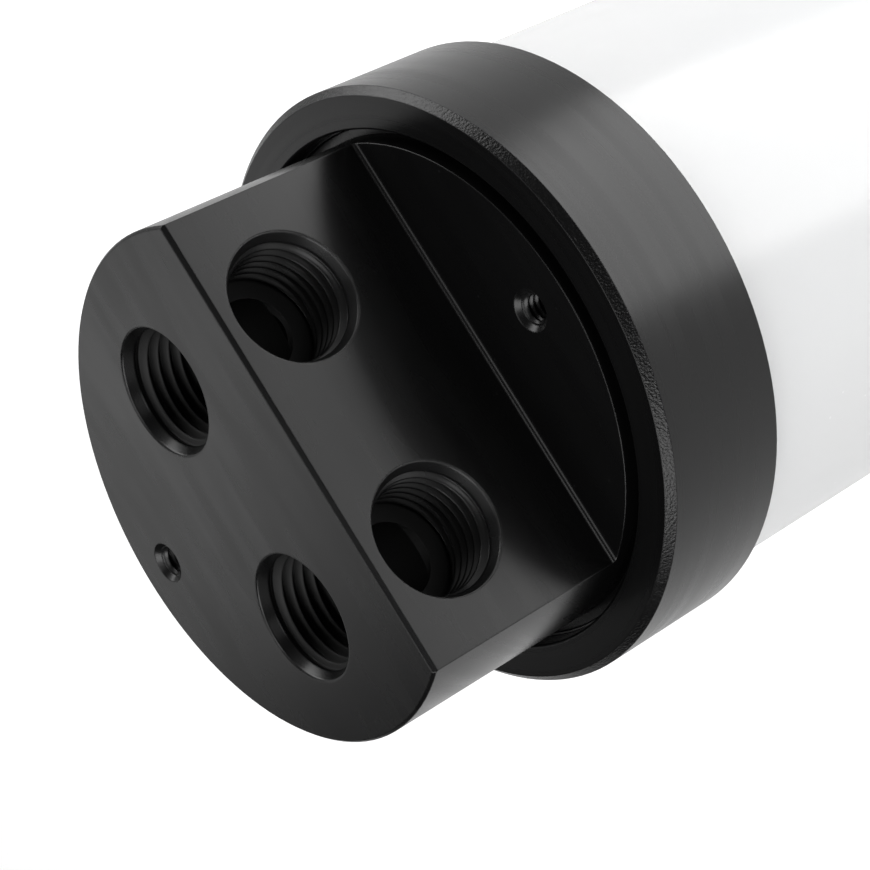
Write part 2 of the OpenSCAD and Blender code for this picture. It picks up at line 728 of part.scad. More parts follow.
module speed_dial() color([0.75, 0.12, 0.08]) translate([0, -dial_offset, dial_recess]) difference() {
    union() {
        cylinder(d = dial_d, h = dial_h);
        cylinder(d = dial_shaft_d, h = board_z - control_gap - 4 * fit - dial_recess);
    }
    translate([-dial_d / 2 - over, -slot_w / 2, -over]) cube([dial_d + 2 * over, slot_w, slot_h + over]);
}

// Section of the cover: floor with a rounded edge, a rim that takes the screws, and the
// step that centres the cover in the can
module cover_section() {
    rim_bore_r = cover_screw_circle - screw_boss_r - 8 * fit;
    difference() {
        union() {
            square([can_r - cover_round, cover_h]);
            translate([0, cover_round]) square([can_r, cover_h - cover_round]);
            translate([can_r - cover_round, cover_round]) circle(r = cover_round, $fn = 48);
            square([can_bore_r - fit, cover_h + cover_step_h]);
        }
        translate([0, cover_floor]) square([rim_bore_r, cover_h + cover_step_h]);
    }
}

module back_cover() color([0.09, 0.09, 0.1]) difference() {
    union() {
        rotate_extrude() cover_section();
        around(3, 90) translate([board_post_circle, 0, cover_floor / 2])
            cylinder(d = board_post_d, h = board_z - cover_floor / 2);
        translate([0, -dial_offset, cover_floor / 2]) cylinder(r = dial_d / 2 + 2, h = cover_h - cover_floor / 2);
    }
    translate([0, -dial_offset, -over]) cylinder(r = dial_d / 2 + 8 * fit, h = over + dial_top + 4 * fit);
    translate([0, -dial_offset, 0]) cylinder(r = dial_shaft_d / 2 + dial_clear, h = cover_h + over);
    around(cover_screw_count, cover_screw_turn) translate([cover_screw_circle, 0, -over]) {
        cylinder(r = cover_screw_d / 2 + 2 * fit, h = cover_h + cover_step_h + 2 * over);
        cylinder(r = cover_screw_d + 2 * fit, h = over + cover_screw_d * 0.8);
    }
}

module cover_screws() color([0.5, 0.5, 0.52])
    around(cover_screw_count, cover_screw_turn) translate([cover_screw_circle, 0, 4 * fit]) difference() {
        union() {
            cylinder(r = cover_screw_d, h = cover_screw_d * 0.8 - 4 * fit);
            cylinder(d = cover_screw_d, h = cover_screw_len);
        }
        translate([0, 0, -over]) cylinder(r = cover_screw_d * 0.4, h = over + cover_screw_d / 2, $fn = 6);
    }

// Strain relief in the can's wall, open for a cable
module cable_gland() color([0.04, 0.04, 0.04]) translate([0, 0, cover_h + gland_rise]) rotate([-90, 0, 0])
    difference() {
        union() {
            translate([0, 0, can_bore_r - gland_root]) cylinder(d = gland_d, h = can_wall + gland_root);
            difference() {
                union() {
                    cylinder(r = gland_d / 2 + gland_collar, h = can_r + gland_collar);
                    cylinder(r1 = gland_d / 2 + gland_taper, r2 = gland_d / 2, h = can_r + gland_len);
                }
                rotate([90, 0, 0]) cylinder(r = can_r + fit, h = 4 * gland_d, center = true);
            }
        }
        translate([0, 0, can_bore_r - gland_root - over])
            cylinder(d = gland_bore_d, h = gland_root + can_wall + gland_len + 2 * over);
    }

port_block();
head_collar();
head_o_ring();
reservoir_tube();
drop_tube();
drop_tube_seal();
vortex_insert();
base_collar();
base_o_ring();
pump_base();
flange_o_ring();
clamp_ring();
clamp_screws();
motor_housing();
separation_cup();
bearing_post();
bearing_ball();
bearing_cup();
impeller();
rotor_magnet();
stator_core();
stator_coils();
control_board();
board_parts();
speed_control();
speed_dial();
back_cover();
cover_screws();
cable_gland();
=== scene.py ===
import json
import math

import bpy
from mathutils import Euler, Matrix, Vector


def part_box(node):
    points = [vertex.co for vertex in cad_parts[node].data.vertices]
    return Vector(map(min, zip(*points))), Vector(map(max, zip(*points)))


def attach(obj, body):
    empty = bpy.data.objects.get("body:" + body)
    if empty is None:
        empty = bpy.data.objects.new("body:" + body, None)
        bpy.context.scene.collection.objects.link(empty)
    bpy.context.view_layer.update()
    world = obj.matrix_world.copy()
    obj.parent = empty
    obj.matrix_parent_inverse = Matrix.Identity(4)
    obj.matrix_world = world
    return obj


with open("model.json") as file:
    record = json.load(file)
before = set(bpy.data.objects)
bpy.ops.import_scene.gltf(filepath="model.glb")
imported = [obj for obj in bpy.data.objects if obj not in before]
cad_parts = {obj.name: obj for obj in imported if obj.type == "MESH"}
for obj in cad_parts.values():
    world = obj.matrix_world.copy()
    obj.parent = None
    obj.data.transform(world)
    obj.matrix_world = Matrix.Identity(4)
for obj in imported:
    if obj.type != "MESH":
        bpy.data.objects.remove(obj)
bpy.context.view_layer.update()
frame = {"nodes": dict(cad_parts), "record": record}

nodes = frame["nodes"]
mounts = {m["name"]: m for m in frame["record"]["mounts"]}
mm = 0.001
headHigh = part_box("port_block")[1]
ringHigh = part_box("head_collar")[1]
print("frame loaded:", len(nodes), "nodes")


cameraSetup = {
    "place": (-0.0256456, -0.1962289, 0.3775753),
    "turn": (-34.12317, 46.37344, -139.49883),  # degrees
    "lens": 100.1692, "sensor": 36,
    "near": 0.01, "far": 20,
}

cameraData = bpy.data.cameras.new("camera")
cameraData.lens = cameraSetup["lens"]
cameraData.sensor_width = cameraSetup["sensor"]
cameraData.clip_start = cameraSetup["near"]
cameraData.clip_end = cameraSetup["far"]
camera = bpy.data.objects.new("camera", cameraData)
camera.location = cameraSetup["place"]
camera.rotation_euler = Euler([math.radians(a) for a in cameraSetup["turn"]], "XYZ")
bpy.context.collection.objects.link(camera)
bpy.context.scene.camera = camera
bpy.context.scene.view_settings.view_transform = "Standard"
print("camera placed")


def newNode(tree, kind, **values):
    node = tree.nodes.new(kind)
    for key, value in values.items():
        setattr(node, key, value)
    return node


def join(tree, source, target):
    tree.links.new(source, target)


def feed(tree, target, value):  # a socket is linked, a plain value is set
    if isinstance(value, bpy.types.NodeSocket):
        tree.links.new(value, target)
    else:
        target.default_value = value


def calc(tree, operation, first, second=None):
    node = newNode(tree, "ShaderNodeMath", operation=operation)
    feed(tree, node.inputs[0], first)
    if second is not None:
        feed(tree, node.inputs[1], second)
    return node.outputs[0]


def plus(tree, first, second):
    return calc(tree, "ADD", first, second)


def times(tree, first, second):
    return calc(tree, "MULTIPLY", first, second)


def larger(tree, first, second):
    return calc(tree, "MAXIMUM", first, second)


def dotProduct(tree, first, second):
    node = newNode(tree, "ShaderNodeVectorMath", operation="DOT_PRODUCT")
    feed(tree, node.inputs[0], first)
    feed(tree, node.inputs[1], second)
    return node.outputs["Value"]


def spread(tree, value, low, high, outLow=0.0, outHigh=1.0, smooth=False):
    node = newNode(tree, "ShaderNodeMapRange", interpolation_type="SMOOTHSTEP" if smooth else "LINEAR")
    for socket, item in zip(node.inputs, (value, low, high, outLow, outHigh)):
        feed(tree, socket, item)
    return node.outputs[0]


def vary(tree, value, swing):  # a noise between 0 and 1 becomes a change up and down
    return spread(tree, value, 0.3, 0.7, -swing, swing)


def blendColour(tree, factor, first, second):
    node = newNode(tree, "ShaderNodeMix", data_type="RGBA")
    feed(tree, node.inputs[0], factor)
    feed(tree, node.inputs[6], first)  # 6 and 7 are the colour sockets
    feed(tree, node.inputs[7], second)
    return node.outputs[2]


def blendValue(tree, factor, first, second):
    node = newNode(tree, "ShaderNodeMix", data_type="FLOAT")
    feed(tree, node.inputs[0], factor)
    feed(tree, node.inputs[2], first)
    feed(tree, node.inputs[3], second)
    return node.outputs[0]


def noise(tree, where, scale, detail):
    node = newNode(tree, "ShaderNodeTexNoise")
    feed(tree, node.inputs["Vector"], where)
    feed(tree, node.inputs["Scale"], scale)
    feed(tree, node.inputs["Detail"], detail)
    return node.outputs["Fac"]


def place(tree):  # position in metres and its parts
    coordinates = newNode(tree, "ShaderNodeTexCoord").outputs["Object"]
    parts = newNode(tree, "ShaderNodeSeparateXYZ")
    join(tree, coordinates, parts.inputs[0])
    return coordinates, parts.outputs[0], parts.outputs[1], parts.outputs[2]


def vector(tree, x, y, z):
    node = newNode(tree, "ShaderNodeCombineXYZ")
    for socket, value in zip(node.inputs, (x, y, z)):
        feed(tree, socket, value)
    return node.outputs[0]


def radius(tree, x, y):  # distance from the tube's axis
    return calc(tree, "SQRT", plus(tree, times(tree, x, x), times(tree, y, y)))


def newGroup(name, inputs, outputs):
    tree = bpy.data.node_groups.new(name, "ShaderNodeTree")
    for label, value in inputs.items():
        socket = tree.interface.new_socket(label, in_out="INPUT", socket_type="NodeSocketFloat")
        socket.default_value = value
    for label, kind in outputs.items():
        tree.interface.new_socket(label, in_out="OUTPUT", socket_type=kind)
    source = tree.nodes.new("NodeGroupInput")
    sink = tree.nodes.new("NodeGroupOutput")
    return tree, source, sink


def useGroup(tree, group, **values):
    node = newNode(tree, "ShaderNodeGroup", node_tree=group)
    for key, value in values.items():
        feed(tree, node.inputs[key], value)
    return node


def bump(tree, height, strength, distance, normal=None):
    node = newNode(tree, "ShaderNodeBump")
    feed(tree, node.inputs["Strength"], strength)
    feed(tree, node.inputs["Distance"], distance)
    join(tree, height, node.inputs["Height"])
    if normal is not None:
        join(tree, normal, node.inputs["Normal"])
    return node.outputs["Normal"]


def newMaterial(name, **values):
    material = bpy.data.materials.new(name)
    material.use_nodes = True
    tree = material.node_tree
    shader = tree.nodes["Principled BSDF"]
    for key, value in values.items():
        shader.inputs[key].default_value = value
    return material, tree, shader


markSetup = {
    "lineDetail": 3.0, "bandDetail": 2.0,
    "ringDrift": 20, "ringBandDrift": 12,  # how soon a turned line changes along itself, per metre
    "ringBand": 0.13, "passBand": 0.16,  # lines per wide band
    "passBandDrift": 0.8, "passLayer": 3.0,
}


def makeTurningMarks():  # fine rings left by a lathe tool, on faces and sides alike
    tree, source, sink = newGroup("turning marks", {"Pitch": 0.00012, "Waver": 1.0},
                                  {"Height": "NodeSocketFloat", "Tone": "NodeSocketFloat"})
    _, x, y, z = place(tree)
    fine = calc(tree, "DIVIDE", plus(tree, radius(tree, x, y), z), source.outputs["Pitch"])
    drift, bandDrift = markSetup["ringDrift"], markSetup["ringBandDrift"]
    line = vector(tree, fine, times(tree, x, drift), times(tree, y, drift))
    lines = noise(tree, line, 1.0, markSetup["lineDetail"])
    coarse = times(tree, fine, markSetup["ringBand"])
    band = vector(tree, coarse, times(tree, x, bandDrift), times(tree, y, bandDrift))
    bands = noise(tree, band, 1.0, markSetup["bandDetail"])
    join(tree, plus(tree, lines, times(tree, bands, source.outputs["Waver"])), sink.inputs["Height"])
    join(tree, bands, sink.inputs["Tone"])
    return tree


def makeMillingMarks():  # straight passes of an end mill along X
    tree, source, sink = newGroup("milling marks", {"Pitch": 0.0003, "Length": 0.02},
                                  {"Height": "NodeSocketFloat", "Tone": "NodeSocketFloat"})
    _, x, y, z = place(tree)
    across = calc(tree, "DIVIDE", plus(tree, y, z), source.outputs["Pitch"])
    down = calc(tree, "DIVIDE", x, source.outputs["Length"])
    lines = noise(tree, vector(tree, across, down, 0.0), 1.0, markSetup["lineDetail"])
    band = vector(tree, times(tree, across, markSetup["passBand"]), times(tree, down, markSetup["passBandDrift"]),
                  markSetup["passLayer"])
    bands = noise(tree, band, 1.0, markSetup["bandDetail"])
    join(tree, plus(tree, lines, bands), sink.inputs["Height"])
    join(tree, bands, sink.inputs["Tone"])
    return tree


edgeWearAndHighlightSetup = {
    "samples": 6,
    "flat": 0.995, "sharp": 0.9,  # how far the rounded normal leaves the face before the wear and painted highlight are full
    "patchLow": 0.35, "patchHigh": 0.7, "patchDetail": 3.0,
}


def makeEdgeWearAndHighlight():  # 1 on edges that are worn and carry a painted highlight, 0 on flat faces
    tree, source, sink = newGroup("edge wear and painted highlight", {"Width": 0.0003, "Breakup": 900.0},
                                  {"Mask": "NodeSocketFloat", "Normal": "NodeSocketVector"})
    rounded = newNode(tree, "ShaderNodeBevel", samples=edgeWearAndHighlightSetup["samples"])
    join(tree, source.outputs["Width"], rounded.inputs["Radius"])
    face = newNode(tree, "ShaderNodeNewGeometry").outputs["Normal"]
    edge = spread(tree, dotProduct(tree, rounded.outputs[0], face), edgeWearAndHighlightSetup["flat"], edgeWearAndHighlightSetup["sharp"], smooth=True)
    coordinates = newNode(tree, "ShaderNodeTexCoord").outputs["Object"]
    patches = spread(tree, noise(tree, coordinates, source.outputs["Breakup"], edgeWearAndHighlightSetup["patchDetail"]),
                     edgeWearAndHighlightSetup["patchLow"], edgeWearAndHighlightSetup["patchHigh"], smooth=True)
    join(tree, times(tree, edge, patches), sink.inputs["Mask"])
    join(tree, rounded.outputs[0], sink.inputs["Normal"])
    return tree


grainSetup = {"detail": 2.0, "patchDetail": 3.0}


def makeGrain():  # the fine pitted skin of a moulding or casting
    tree, source, sink = newGroup("moulded grain", {"Scale": 2500.0, "Patch Scale": 60.0},
                                  {"Height": "NodeSocketFloat", "Patches": "NodeSocketFloat"})
    coordinates = newNode(tree, "ShaderNodeTexCoord").outputs["Object"]
    join(tree, noise(tree, coordinates, source.outputs["Scale"], grainSetup["detail"]), sink.inputs["Height"])
    join(tree, noise(tree, coordinates, source.outputs["Patch Scale"], grainSetup["patchDetail"]), sink.inputs["Patches"])
    return tree


dustSetup = {"edge": 0.12, "core": 0.05}  # in cells


def makeDust():  # sparse small specks
    tree, source, sink = newGroup("dust specks", {"Scale": 700.0, "Amount": 0.06}, {"Mask": "NodeSocketFloat"})
    coordinates = newNode(tree, "ShaderNodeTexCoord").outputs["Object"]
    cells = newNode(tree, "ShaderNodeTexVoronoi")
    join(tree, coordinates, cells.inputs["Vector"])
    join(tree, source.outputs["Scale"], cells.inputs["Scale"])
    near = spread(tree, cells.outputs["Distance"], dustSetup["edge"], dustSetup["core"], smooth=True)
    pick = newNode(tree, "ShaderNodeSeparateColor")
    join(tree, cells.outputs["Color"], pick.inputs[0])
    chosen = calc(tree, "LESS_THAN", pick.outputs[0], source.outputs["Amount"])
    join(tree, times(tree, near, chosen), sink.inputs["Mask"])
    return tree


turningMarks = makeTurningMarks()
millingMarks = makeMillingMarks()
edgeWearAndHighlight = makeEdgeWearAndHighlight()
mouldedGrain = makeGrain()
dustSpecks = makeDust()
print("shared effects made")


headFinish = {
    "colour": (0.0028, 0.0028, 0.0029, 1), "edgeColour": (0.025, 0.025, 0.026, 1),
    "boreShadeColour": (0.002, 0.002, 0.002, 1), "boreRoughness": 0.62,
    "roughness": 0.27, "index": 1.43, "millSwing": 0.03, "patchSwing": 0.02,
    "millPitch": 0.0005, "turnPitch": 0.00014, "bump": 0.12, "bumpHeight": 0.000012,
    "edgeWidth": 0.00018, "edgeTone": 0.5, "dustTone": 0.5,
    "facingFront": -0.9, "ledgeFront": -11.3 * mm,  # where the block is milled and not turned
    "boreFront": -10.1 * mm, "boreTop": 1.5 * mm, "boreReach": 24.7 * mm,  # the space that holds the bores' walls, where the colour is darkened as painted shade and the roughness raised
}


def makeHeadPlastic():
    material, tree, shader = newMaterial("black acetal, turned and milled", IOR=headFinish["index"])
    _, x, y, z = place(tree)
    normal = newNode(tree, "ShaderNodeSeparateXYZ")
    join(tree, newNode(tree, "ShaderNodeNewGeometry").outputs["Normal"], normal.inputs[0])
    flatMask = calc(tree, "LESS_THAN", normal.outputs[1], headFinish["facingFront"])
    ledgeMask = calc(tree, "LESS_THAN", y, headFinish["ledgeFront"])
    # mask of the bores' walls: painted shade, a darker colour where the deep bores lie in shadow
    boreShadeMask = times(tree, calc(tree, "GREATER_THAN", y, headFinish["boreFront"]),
                  calc(tree, "LESS_THAN", z, headHigh.z - headFinish["boreTop"]))
    boreShadeMask = times(tree, boreShadeMask, calc(tree, "LESS_THAN", radius(tree, x, y), headFinish["boreReach"]))
    mill = useGroup(tree, millingMarks, Pitch=headFinish["millPitch"])
    turn = useGroup(tree, turningMarks, Pitch=headFinish["turnPitch"])
    height = blendValue(tree, larger(tree, flatMask, ledgeMask), turn.outputs["Height"], mill.outputs["Height"])
    wearAndHighlight = useGroup(tree, edgeWearAndHighlight, Width=headFinish["edgeWidth"])
    dust = useGroup(tree, dustSpecks)
    patches = useGroup(tree, mouldedGrain)
    # the paler edge colour is partly wear and partly a painted highlight along the edges
    tone = plus(tree, wearAndHighlight.outputs["Mask"], times(tree, dust.outputs["Mask"], headFinish["dustTone"]))
    skin = blendColour(tree, times(tree, tone, headFinish["edgeTone"]), headFinish["colour"], headFinish["edgeColour"])
    # inside the bores the base colour darkens: painted shade, not a different plastic
    feed(tree, shader.inputs["Base Color"], blendColour(tree, boreShadeMask, skin, headFinish["boreShadeColour"]))
    rough = plus(tree, headFinish["roughness"], vary(tree, mill.outputs["Tone"], headFinish["millSwing"]))
    rough = plus(tree, rough, vary(tree, patches.outputs["Patches"], headFinish["patchSwing"]))
    feed(tree, shader.inputs["Roughness"], spread(tree, boreShadeMask, 0.0, 1.0, rough, headFinish["boreRoughness"]))
    feed(tree, shader.inputs["Normal"],
         bump(tree, height, headFinish["bump"], headFinish["bumpHeight"], wearAndHighlight.outputs["Normal"]))
    return material


collarFinish = {
    "colour": (0.0025, 0.0025, 0.0026, 1), "edgeColour": (0.02, 0.02, 0.021, 1),
    "roughness": 0.27, "index": 1.41, "toneSwing": 0.03,
    "turnPitch": 0.00018, "bump": 0.1, "bumpHeight": 0.000012,
    "edgeWidth": 0.00015, "edgeTone": 0.5,
    "chamfer": 0.8 * mm, "inside": 0.98, "above": 1.02,  # shares of the chamfer at which its mask starts
    "chatterScale": 4500.0, "chatterDetail": 2.0, "chatterBump": 0.5, "chatterHeight": 0.12 * mm,
}


def makeCollarPlastic():
    material, tree, shader = newMaterial("black acetal, fine turned", IOR=collarFinish["index"])
    coordinates, x, y, z = place(tree)
    turn = useGroup(tree, turningMarks, Pitch=collarFinish["turnPitch"])
    chamfer = collarFinish["chamfer"]
    outer = calc(tree, "GREATER_THAN", radius(tree, x, y), ringHigh.x - chamfer * collarFinish["inside"])
    above = calc(tree, "GREATER_THAN", z, ringHigh.z - chamfer * collarFinish["above"])
    chatter = noise(tree, coordinates, collarFinish["chatterScale"], collarFinish["chatterDetail"])
    chatter = times(tree, chatter, times(tree, outer, above))
    wearAndHighlight = useGroup(tree, edgeWearAndHighlight, Width=collarFinish["edgeWidth"])
    smooth = bump(tree, turn.outputs["Height"], collarFinish["bump"], collarFinish["bumpHeight"], wearAndHighlight.outputs["Normal"])
    feed(tree, shader.inputs["Normal"],
         bump(tree, chatter, collarFinish["chatterBump"], collarFinish["chatterHeight"], smooth))
    # the paler edge colour is partly wear and partly a painted highlight along the edges
    feed(tree, shader.inputs["Base Color"],
         blendColour(tree, times(tree, wearAndHighlight.outputs["Mask"], collarFinish["edgeTone"]),
                     collarFinish["colour"], collarFinish["edgeColour"]))
    feed(tree, shader.inputs["Roughness"],
         plus(tree, collarFinish["roughness"], vary(tree, turn.outputs["Tone"], collarFinish["toneSwing"])))
    return material


opalFinish = {
    "colour": (0.9, 0.9, 0.9, 1), "cool": (0.87, 0.885, 0.9, 1), "coolShare": 0.6,
    "roughness": 0.22, "index": 1.49, "flowSwing": 0.03, "dustRough": 0.2, "dustAmount": 0.03,
    "grain": {"Scale": 900.0, "Patch Scale": 18.0}, "patchLow": 0.35, "patchHigh": 0.7,
    "flowAcross": 120, "flowAlong": 4, "flowDetail": 2.0,  # long faint lines of an extruded tube
    "bump": 0.1, "bumpHeight": 0.05 * mm,
    "depth": {"Subsurface Weight": 0.15, "Subsurface Radius": (1.0, 1.0, 1.0), "Subsurface Scale": 2 * mm},
}


def makeOpal():
    material, tree, shader = newMaterial("opal white tube", IOR=opalFinish["index"], **opalFinish["depth"])
    _, x, y, z = place(tree)
    grain = useGroup(tree, mouldedGrain, **opalFinish["grain"])
    dust = useGroup(tree, dustSpecks, Amount=opalFinish["dustAmount"])
    cool = spread(tree, grain.outputs["Patches"], opalFinish["patchLow"], opalFinish["patchHigh"],
                  0.0, opalFinish["coolShare"])
    feed(tree, shader.inputs["Base Color"], blendColour(tree, cool, opalFinish["colour"], opalFinish["cool"]))
    across = opalFinish["flowAcross"]
    line = vector(tree, times(tree, x, across), times(tree, y, across), times(tree, z, opalFinish["flowAlong"]))
    flow = noise(tree, line, 1.0, opalFinish["flowDetail"])
    rough = plus(tree, opalFinish["roughness"], times(tree, dust.outputs["Mask"], opalFinish["dustRough"]))
    feed(tree, shader.inputs["Roughness"], plus(tree, rough, vary(tree, flow, opalFinish["flowSwing"])))
    feed(tree, shader.inputs["Normal"], bump(tree, flow, opalFinish["bump"], opalFinish["bumpHeight"]))
    return material


# The flat ports' thread liners are the head's plastic in a paler colour with a paler edge: a painted highlight on
# their turns and lead-in cone.
litThreadFinish = {
    "name": "cut thread", "colour": (0.012, 0.012, 0.0122, 1), "shade": (0.015, 0.015, 0.0153, 1),
    "roughness": 0.3, "grain": 6000, "bump": 0.08, "edge": (0.05, 0.05, 0.05, 1),
}

plainFinishes = {
    "seal_rubber": {"name": "black rubber", "colour": (0.012, 0.012, 0.012, 1), "shade": (0.018, 0.018, 0.018, 1),
                    "roughness": 0.55, "grain": 3000, "bump": 0.3},
    "tube_clear": {"name": "clear acrylic", "colour": (0.85, 0.9, 0.92, 1), "shade": (0.8, 0.87, 0.9, 1),
                   "roughness": 0.12, "grain": 900, "bump": 0.05, "index": 1.49},
    "insert_plastic": {"name": "moulded insert", "colour": (0.02, 0.02, 0.02, 1), "shade": (0.026, 0.026, 0.026, 1),
                       "roughness": 0.45, "grain": 2500, "bump": 0.3},
    "clamp_metal": {"name": "black anodised ring", "colour": (0.02, 0.02, 0.022, 1), "shade": (0.026, 0.026, 0.029, 1),
                    "roughness": 0.38, "grain": 5000, "bump": 0.2, "metallic": 0.6, "turned": 0.0002},
    "screw_steel": {"name": "black oxide screws", "colour": (0.05, 0.05, 0.053, 1), "shade": (0.075, 0.075, 0.08, 1),
                    "roughness": 0.36, "grain": 4000, "bump": 0.2, "metallic": 1.0},
    "motor_plastic": {"name": "moulded housing", "colour": (0.014, 0.014, 0.015, 1), "shade": (0.018, 0.018, 0.019, 1),
                      "roughness": 0.46, "grain": 3200, "bump": 0.5},
    "cup_steel": {"name": "drawn stainless", "colour": (0.6, 0.6, 0.62, 1), "shade": (0.52, 0.52, 0.54, 1),
                  "roughness": 0.26, "grain": 3000, "bump": 0.1, "metallic": 1.0, "turned": 0.00015},
    "ball_ceramic": {"name": "polished ceramic", "colour": (0.84, 0.82, 0.78, 1), "shade": (0.8, 0.78, 0.74, 1),
                     "roughness": 0.12, "grain": 3000, "bump": 0.05},
    "bearing_carbon": {"name": "bearing carbon", "colour": (0.03, 0.03, 0.033, 1), "shade": (0.04, 0.04, 0.043, 1),
                       "roughness": 0.4, "grain": 6000, "bump": 0.3},
    "impeller_plastic": {"name": "natural moulding", "colour": (0.72, 0.72, 0.69, 1), "shade": (0.66, 0.66, 0.63, 1),
                         "roughness": 0.4, "grain": 2600, "bump": 0.3},
    "magnet_ferrite": {"name": "coated ferrite", "colour": (0.05, 0.05, 0.053, 1), "shade": (0.07, 0.07, 0.073, 1),
                       "roughness": 0.5, "grain": 2200, "bump": 0.6},
    "core_steel": {"name": "stacked sheets", "colour": (0.4, 0.4, 0.42, 1), "shade": (0.3, 0.3, 0.32, 1),
                   "roughness": 0.4, "grain": 3000, "bump": 0.2, "metallic": 1.0},
    "coil_copper": {"name": "enamelled wire", "colour": (0.62, 0.24, 0.08, 1), "shade": (0.5, 0.18, 0.06, 1),
                    "roughness": 0.3, "grain": 2500, "bump": 0.2, "metallic": 0.8},
    "board_green": {"name": "solder mask", "colour": (0.012, 0.12, 0.05, 1), "shade": (0.01, 0.09, 0.04, 1),
                    "roughness": 0.3, "grain": 2500, "bump": 0.2},
    "part_black": {"name": "moulded parts", "colour": (0.02, 0.02, 0.022, 1), "shade": (0.03, 0.03, 0.032, 1),
                   "roughness": 0.35, "grain": 2500, "bump": 0.2},
    "control_blue": {"name": "blue control", "colour": (0.02, 0.07, 0.3, 1), "shade": (0.016, 0.06, 0.25, 1),
                     "roughness": 0.35, "grain": 2500, "bump": 0.2},
    "dial_red": {"name": "red dial", "colour": (0.5, 0.03, 0.015, 1), "shade": (0.42, 0.025, 0.012, 1),
                 "roughness": 0.4, "grain": 2600, "bump": 0.3},
}

plainShared = {
    "index": 1.5, "metallic": 0.0, "patchScale": 90.0, "shadeLow": 0.35, "shadeHigh": 0.65, "roughSwing": 0.05,
    "edgeWidth": 0.0002, "edgeTone": 0.5, "edgeGain": 2.5, "edgeLift": 0.02,
    "bumpHeight": 0.03 * mm, "turnBump": 0.2, "turnHeight": 0.02 * mm,
}


def makePlain(finish):
    material, tree, shader = newMaterial(finish["name"], IOR=finish.get("index", plainShared["index"]),
                                         Metallic=finish.get("metallic", plainShared["metallic"]))
    grain = useGroup(tree, mouldedGrain, **{"Scale": finish["grain"], "Patch Scale": plainShared["patchScale"]})
    patches = grain.outputs["Patches"]
    wearAndHighlight = useGroup(tree, edgeWearAndHighlight, Width=plainShared["edgeWidth"])
    shade = spread(tree, patches, plainShared["shadeLow"], plainShared["shadeHigh"])
    body = blendColour(tree, shade, finish["colour"], finish["shade"])
    # the paler edge colour is partly wear and partly a painted highlight along the edges
    paler = [min(1.0, plainShared["edgeGain"] * c + plainShared["edgeLift"]) for c in finish["colour"][:3]]
    edge = finish.get("edge", (*paler, 1))
    feed(tree, shader.inputs["Base Color"],
         blendColour(tree, times(tree, wearAndHighlight.outputs["Mask"], plainShared["edgeTone"]), body, edge))
    rough, swing = finish["roughness"], plainShared["roughSwing"]
    feed(tree, shader.inputs["Roughness"], spread(tree, patches, 0.3, 0.7, rough - swing, rough + swing))
    normal = bump(tree, grain.outputs["Height"], finish["bump"], plainShared["bumpHeight"], wearAndHighlight.outputs["Normal"])
    if "turned" in finish:
        turn = useGroup(tree, turningMarks, Pitch=finish["turned"])
        normal = bump(tree, turn.outputs["Height"], plainShared["turnBump"], plainShared["turnHeight"], normal)
    feed(tree, shader.inputs["Normal"], normal)
    return material


paintedHighlightThread = makePlain(litThreadFinish)
slotMaterials = {
    "head_plastic": makeHeadPlastic(),
    "collar_plastic": makeCollarPlastic(),
    "tube_opal": makeOpal(),
}
for slot, finish in plainFinishes.items():
    slotMaterials[slot] = makePlain(finish)

for node in nodes.values():  # each node comes with a material named for its slot
    current = node.data.materials[0].name.split(".")[0] if node.data.materials else ""
    if current in slotMaterials:
        for materialSlot in node.material_slots:
            materialSlot.material = slotMaterials[current]
    else:
        print("no slot for", node.name, current)
print("materials made and given to the nodes")


def addPiece(name, vertices, faces, material, body="reservoir"):
    mesh = bpy.data.meshes.new(name)
    mesh.from_pydata(vertices, [], faces)
    mesh.validate()
    for face in mesh.polygons:
        face.use_smooth = True
    piece = bpy.data.objects.new(name, mesh)
    bpy.context.collection.objects.link(piece)
    piece.data.materials.append(material)
    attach(piece, body)
    return piece


# The solids have plain bores. Each bore gets a thin liner with the thread's turns.
threadSetup = {
    "pitch": 1.337 * mm, "depth": 0.86 * mm, "segments": 120, "perPitch": 16,
    "gap": 0.004 * mm, "wall": 0.02 * mm,  # between bore and liner, and the liner at the thread's root
    "lead": 0.55, "runOut": 0.4, "coneEnd": 0.5,  # in pitches
    "rounding": 0.55, "fewestRows": 8,
    "seatHeight": 1.28 * mm, "seatStep": 0.17 * mm, "seatDepth": 0.42 * mm, "seatGap": 0.001 * mm, "seatRows": 6,
}
fineThread = dict(threadSetup, seatHeight=0, pitch=0.7 * mm, depth=0.32 * mm, segments=48, perPitch=12)
bracketThread = {"above": 0.1 * mm, "length_mm": 6.8}


def ridgeHeight(turns, rounding):  # 0 at the root, 1 at the crest
    ridge = 1 - abs(2 * (turns % 1.0) - 1)
    return (1 - rounding) * ridge + rounding * ridge * ridge * (3 - 2 * ridge)


def ringPoint(toPlace, r, height, step, segments):
    angle = 2 * math.pi * step / segments
    return toPlace @ Vector((r * math.cos(angle), r * math.sin(angle), height))


